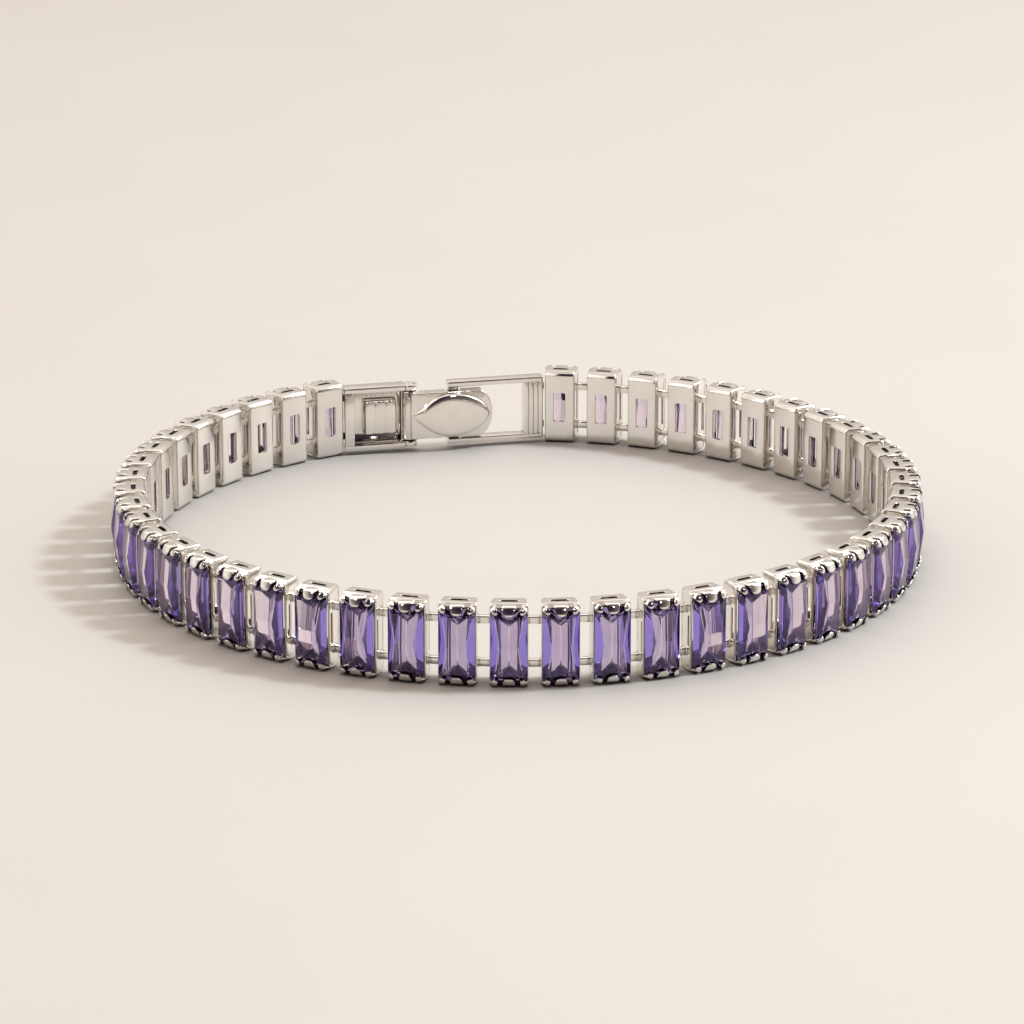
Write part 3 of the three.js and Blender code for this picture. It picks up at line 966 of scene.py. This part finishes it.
def studio_floor():
    """A pale matt stone-coloured sheet, a little uneven in tone."""
    mesh = bpy.data.meshes.new("floor")
    half = FLOOR_HALF
    corners = [(-half, -half, 0), (half, -half, 0), (half, half, 0), (-half, half, 0)]
    mesh.from_pydata(corners, [], [(0, 1, 2, 3)])
    material, tree = blank("pale_floor")
    place = add(tree, "ShaderNodeTexCoord").outputs["Object"]
    cloud = add(tree, "ShaderNodeTexNoise", {"Scale": 1 / CLOUD, "Detail": 4.0}, {"Vector": place})
    tone = add(tree, "ShaderNodeMix", {"data_type": "RGBA"}, {"Factor": cloud.outputs["Fac"]})
    tone.inputs["A"].default_value = colour("#e0dcd6")
    tone.inputs["B"].default_value = colour("#dbd6cf")
    shader = add(
        tree, "ShaderNodeBsdfPrincipled", {"Roughness": 0.6},
        {"Base Color": tone.outputs["Result"]},
    )
    add(tree, "ShaderNodeOutputMaterial", {}, {"Surface": shader.outputs["BSDF"]})
    mesh.materials.append(material)
    floor = bpy.data.objects.new("floor", mesh)
    bpy.context.scene.collection.objects.link(floor)


VIEW_TURN = math.radians(12.69)  # how far the view is turned from the clasp's middle
VIEW_AHEAD = Vector((math.sin(VIEW_TURN), math.cos(VIEW_TURN), 0))
VIEW_RIGHT = Vector((math.cos(VIEW_TURN), -math.sin(VIEW_TURN), 0))
LOOP_CENTRE = Vector((0, LOOP_Y * MM, 0))
DARK_HEIGHT = math.radians(38)  # of the dark patch's middle, over the front of the loop
# The surroundings' tone, from opposite the dark patch (0) to its middle (1):
SURROUNDINGS = (
    (0.18, "#c6beb7"), (0.4, "#f2e9e0"), (0.52, "#fff6ec"), (0.65, "#e9e0d7"), (0.75, "#b0a7a0"),
    (0.82, "#80766f"), (0.9, "#5f5455"), (0.96, "#3a323a"), (1.0, "#2c2631"),
)
AIR_STRENGTH = 1.17


def studio_air():
    """Soft light from all round, with one dark patch high up over the front of the loop."""
    world = bpy.data.worlds.new("studio")
    world.use_nodes = True
    tree = world.node_tree
    tree.nodes.clear()
    way = add(tree, "ShaderNodeTexCoord").outputs["Generated"]
    dark_way = Vector((0, 0, math.sin(DARK_HEIGHT))) - VIEW_AHEAD * math.cos(DARK_HEIGHT)
    nearness = add(
        tree, "ShaderNodeVectorMath", {"operation": "DOT_PRODUCT", 1: dark_way}, {0: way},
    )
    share = add(
        tree, "ShaderNodeMapRange", {"From Min": -1.0, "From Max": 1.0},
        {"Value": nearness.outputs["Value"]},
    )
    tone = add(tree, "ShaderNodeValToRGB", {}, {"Fac": share.outputs["Result"]}, SURROUNDINGS)
    light = add(
        tree, "ShaderNodeBackground", {"Strength": AIR_STRENGTH}, {"Color": tone.outputs["Color"]},
    )
    add(tree, "ShaderNodeOutputWorld", {}, {"Surface": light.outputs["Background"]})
    bpy.context.scene.world = world


def soft_box(name, place, size, watts, tone, on_matt=True, mirrored=True, through_stones=True):
    """A soft box facing the loop, placed so far to its right, beyond it and above it."""
    lamp = bpy.data.lights.new(name, "AREA")
    lamp.shape = "RECTANGLE"
    lamp.size, lamp.size_y = size
    lamp.energy = watts
    lamp.color = colour(tone)[:3]
    obj = bpy.data.objects.new(name, lamp)
    right, ahead, up = place
    at = LOOP_CENTRE + VIEW_RIGHT * right + VIEW_AHEAD * ahead + Vector((0, 0, up))
    obj.location = at
    obj.rotation_euler = (LOOP_CENTRE - at).to_track_quat("-Z", "Y").to_euler()
    obj.visible_camera = False
    obj.visible_diffuse = on_matt
    obj.visible_glossy = mirrored
    obj.visible_transmission = through_stones
    bpy.context.scene.collection.objects.link(obj)
    return obj


CAMERA = {
    "lens": 175.8, "before": 0.3526, "left": 0.00043, "up": 0.1175, "pitch": math.radians(17.983),
}


def camera():
    """A long lens a little above the loop, looking down at it."""
    data = bpy.data.cameras.new("camera")
    data.lens = CAMERA["lens"]
    data.sensor_width = 36.0
    data.clip_start, data.clip_end = 0.01, 20.0
    obj = bpy.data.objects.new("camera", data)
    before, left, up = (CAMERA[way] for way in ("before", "left", "up"))
    obj.location = LOOP_CENTRE - VIEW_AHEAD * before - VIEW_RIGHT * left + Vector((0, 0, up))
    pitch = CAMERA["pitch"]
    look = VIEW_AHEAD * math.cos(pitch) - Vector((0, 0, math.sin(pitch)))
    obj.rotation_euler = look.to_track_quat("-Z", "Y").to_euler()
    bpy.context.scene.collection.objects.link(obj)
    bpy.context.scene.camera = obj


def lights():
    """A key light and a soft ceiling, then cards and small lamps that only polished faces show."""
    soft_box("key_light", (0.385, 0.05, 0.42), (0.075, 0.075), 1.7, "#ecf6ff")
    soft_box(
        "ceiling_light", (0.0, 0.0, 0.6), (0.5, 0.5), 1.3, "#fff4ea",
        mirrored=False, through_stones=False,
    )
    only_mirrored = {"on_matt": False, "through_stones": False}
    soft_box("window_glow", (0.347, 0.145, 0.328), (0.3, 0.3), 1.6, "#fffaf2", **only_mirrored)
    soft_box("white_card", (0.0, 0.012, 0.05), (0.07, 0.036), 0.006, "#fff8ee", **only_mirrored)
    for name, place in (("left_spark", (-0.25, -0.22, 0.3)), ("right_spark", (0.16, -0.3, 0.27))):
        soft_box(name, place, (0.03, 0.03), 0.12, "#ffffff", on_matt=False)
    # This card stands upright inside the loop and faces the links at its far right side.
    card = soft_box(
        "upright_card", (-0.03, -0.01, 0.045), (0.05, 0.07), 0.0125, "#fffaf2", **only_mirrored,
    )
    level_way = VIEW_RIGHT * 0.05 + VIEW_AHEAD * 0.035
    card.rotation_euler = level_way.to_track_quat("-Z", "Y").to_euler()


studio_floor()
studio_air()
lights()
camera()

scene = bpy.context.scene
scene.view_settings.view_transform = "Standard"
# Light meets many facets inside a stone before it leaves again:
scene.cycles.max_bounces = 20
scene.cycles.transmission_bounces = 16
scene.cycles.glossy_bounces = 6
scene.cycles.caustics_reflective = False
scene.cycles.caustics_refractive = False
